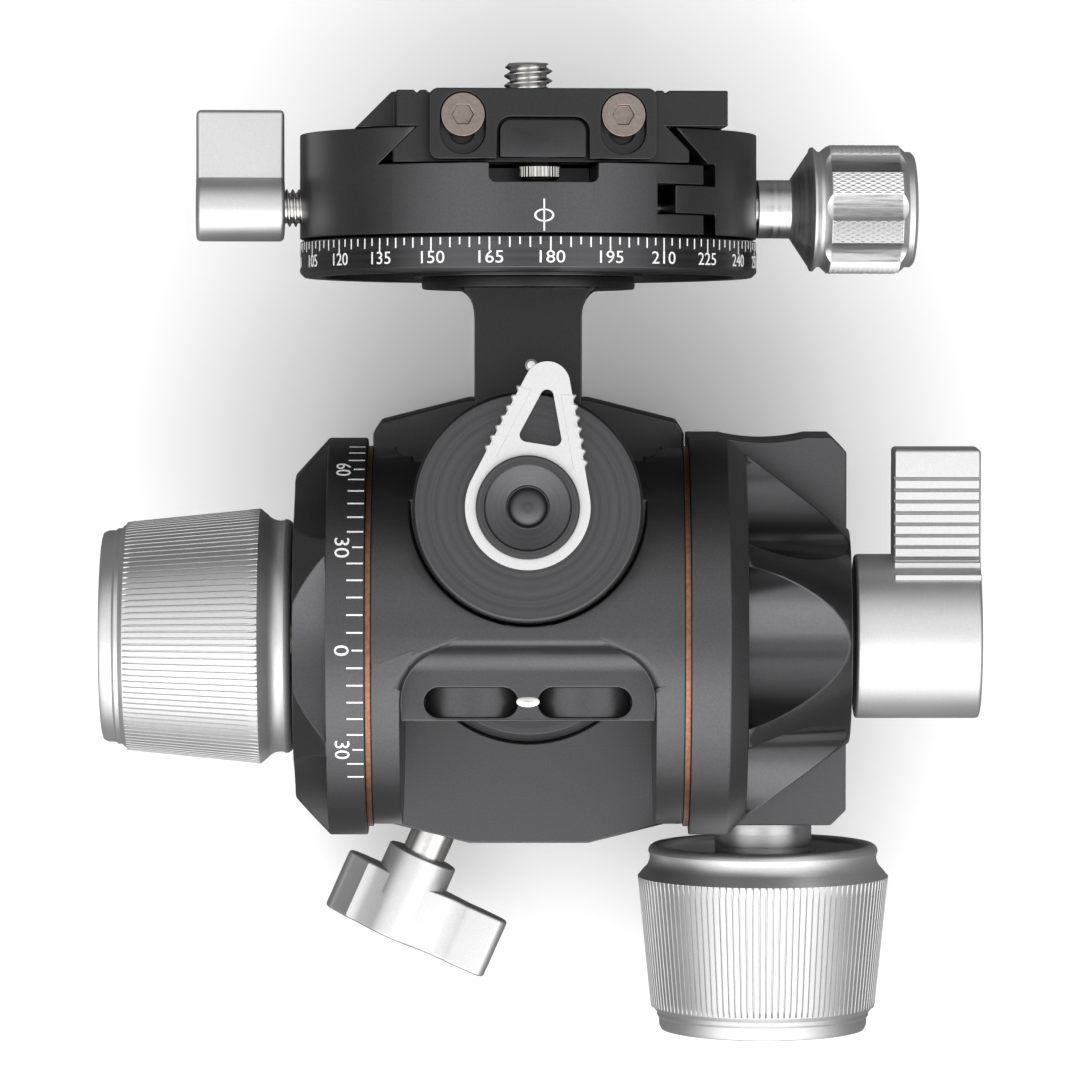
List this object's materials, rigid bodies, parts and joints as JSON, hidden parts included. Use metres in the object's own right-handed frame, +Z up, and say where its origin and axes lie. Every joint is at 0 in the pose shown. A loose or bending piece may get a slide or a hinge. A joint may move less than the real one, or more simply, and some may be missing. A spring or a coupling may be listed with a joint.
{
  "type": "geared tripod head",
  "caption": "Geared tripod head: panning foot, worm-driven tilt and roll, quick-release levers, panning dovetail clamp with camera plate.",
  "frame": {"origin": "centre of the tripod thread's mouth in the underside of the foot", "axes": "+Z up along the pan axis, +X along the tilt axis towards the tilt release lever, +Y the way the clamp points as the stage lies cranked over"},
  "size_m": [0.1154, 0.1298, 0.0788],
  "materials": {
    "black_anodised": "bead-blasted and anodised matt black",
    "silver_anodised": "bead-blasted and anodised natural silver",
    "bronze": "turned bearing bronze",
    "steel": "turned stainless steel"
  },
  "bodies": {
    "foot": {"tripod_foot": "black_anodised", "pan_hub": "black_anodised", "hub_screws": "steel"},
    "pan": {"pan_block": "black_anodised", "pan_glide_ring": "bronze", "left_cheek": "black_anodised", "right_housing": "black_anodised", "gear_cover": "black_anodised", "left_bush": "bronze", "right_bush": "bronze", "worm_bush_front": "silver_anodised", "worm_bush_rear": "bronze", "pan_brake_shoe": "bronze", "cheek_screws": "steel"},
    "pan_lock": {"pan_lock_knob": "silver_anodised", "pan_lock_screw": "steel"},
    "tilt": {"tilt_barrel": "black_anodised", "left_axle": "steel", "right_axle": "steel", "axle_screws": "steel", "friction_rings": "bronze", "tilt_wheel": "bronze", "front_cover": "black_anodised", "roll_axle": "steel", "roll_worm_bush": "bronze"},
    "tilt_drive": {"tilt_worm": "steel", "tilt_shaft": "steel", "tilt_knob": "silver_anodised"},
    "tilt_release": {"tilt_release_lever": "silver_anodised", "tilt_lever_screw": "steel"},
    "roll": {"neck": "black_anodised", "roll_wheel": "bronze", "scale_ring": "black_anodised", "post_retainer": "steel"},
    "roll_drive": {"roll_worm": "steel", "roll_shaft": "steel", "roll_knob": "silver_anodised"},
    "roll_release": {"roll_release_lever": "silver_anodised", "roll_lever_cap": "black_anodised"},
    "clamp": {"clamp_body": "black_anodised", "top_brake_shoe": "bronze"},
    "top_lock": {"top_lock_tab": "silver_anodised", "top_lock_screw": "steel"},
    "jaw": {"moving_jaw": "black_anodised"},
    "jaw_knob": {"clamp_screw": "steel", "clamp_knob": "silver_anodised", "clamp_collar": "silver_anodised"},
    "plate": {"camera_plate": "black_anodised", "stop_screws": "steel", "lip_screws": "steel"},
    "lip": {"plate_lip": "black_anodised"},
    "camera_screw": {"camera_screw": "steel"}
  },
  "joints": [
    {"name": "pan", "type": "hinge", "parent": "foot", "child": "pan", "pos_m": [0, 0, 0.008], "axis": [0, 0, 1], "continuous": true},
    {"name": "pan_lock", "type": "hinge", "parent": "pan", "child": "pan_lock", "pos_m": [0, 0, 0.0136], "axis": [-0.4067, -0.9135, 0], "range_deg": [0, 75]},
    {"name": "tilt", "type": "hinge", "parent": "pan", "child": "tilt", "pos_m": [0, 0, 0.046], "axis": [1, 0, 0], "range_deg": [0, 120]},
    {"name": "tilt_drive", "type": "hinge", "parent": "pan", "child": "tilt_drive", "pos_m": [0.03145, 0, 0.028], "axis": [0, 1, 0], "range_deg": [-3130, 5]},
    {"name": "tilt_release", "type": "hinge", "parent": "pan", "child": "tilt_release", "pos_m": [0.05, 0, 0.046], "axis": [1, 0, 0], "range_deg": [0, 90]},
    {"name": "roll", "type": "hinge", "parent": "tilt", "child": "roll", "pos_m": [0, 0.01698, 0.04511], "axis": [0, 0.0523, 0.9986], "range_deg": [-22, 30]},
    {"name": "roll_drive", "type": "hinge", "parent": "tilt", "child": "roll_drive", "pos_m": [-0.04, 0, 0.046], "axis": [1, 0, 0], "range_deg": [-845, 620]},
    {"name": "roll_release", "type": "hinge", "parent": "tilt", "child": "roll_release", "pos_m": [0, 0.01855, 0.07507], "axis": [0, 0.0523, 0.9986], "range_deg": [0, 100]},
    {"name": "clamp_pan", "type": "hinge", "parent": "roll", "child": "clamp", "pos_m": [0, 0.05193, 0.04328], "axis": [0, 0.9986, -0.0523], "continuous": true},
    {"name": "top_lock", "type": "hinge", "parent": "clamp", "child": "top_lock", "pos_m": [0, 0.05612, 0.04306], "axis": [0.9976, -0.0037, -0.0697], "range_deg": [0, 90]},
    {"name": "jaw", "type": "slide", "parent": "clamp", "child": "jaw", "axis": [0.9976, -0.0037, -0.0697], "range_m": [-0.0012, 0.0035]},
    {"name": "jaw_knob", "type": "hinge", "parent": "jaw", "child": "jaw_knob", "pos_m": [0, 0.05612, 0.04306], "axis": [0.9976, -0.0037, -0.0697], "range_deg": [-435, 1265]},
    {"name": "plate_slide", "type": "slide", "parent": "clamp", "child": "plate", "axis": [0.0698, 0.0522, 0.9962], "range_m": [-0.004, 0.004]},
    {"name": "lip_slide", "type": "slide", "parent": "plate", "child": "lip", "axis": [0, 0.9986, -0.0523], "range_m": [0, 0.002]},
    {"name": "camera_screw", "type": "hinge", "parent": "plate", "child": "camera_screw", "pos_m": [0, 0.06291, 0.0427], "axis": [0, 0.9986, -0.0523], "continuous": true}
  ],
  "couplings": [
    {"joint": "tilt_drive", "follows": "tilt", "ratio": -26},
    {"joint": "roll_drive", "follows": "roll", "ratio": -28},
    {"joint": "jaw_knob", "follows": "jaw", "rad_per_m": 6283.2}
  ]
}
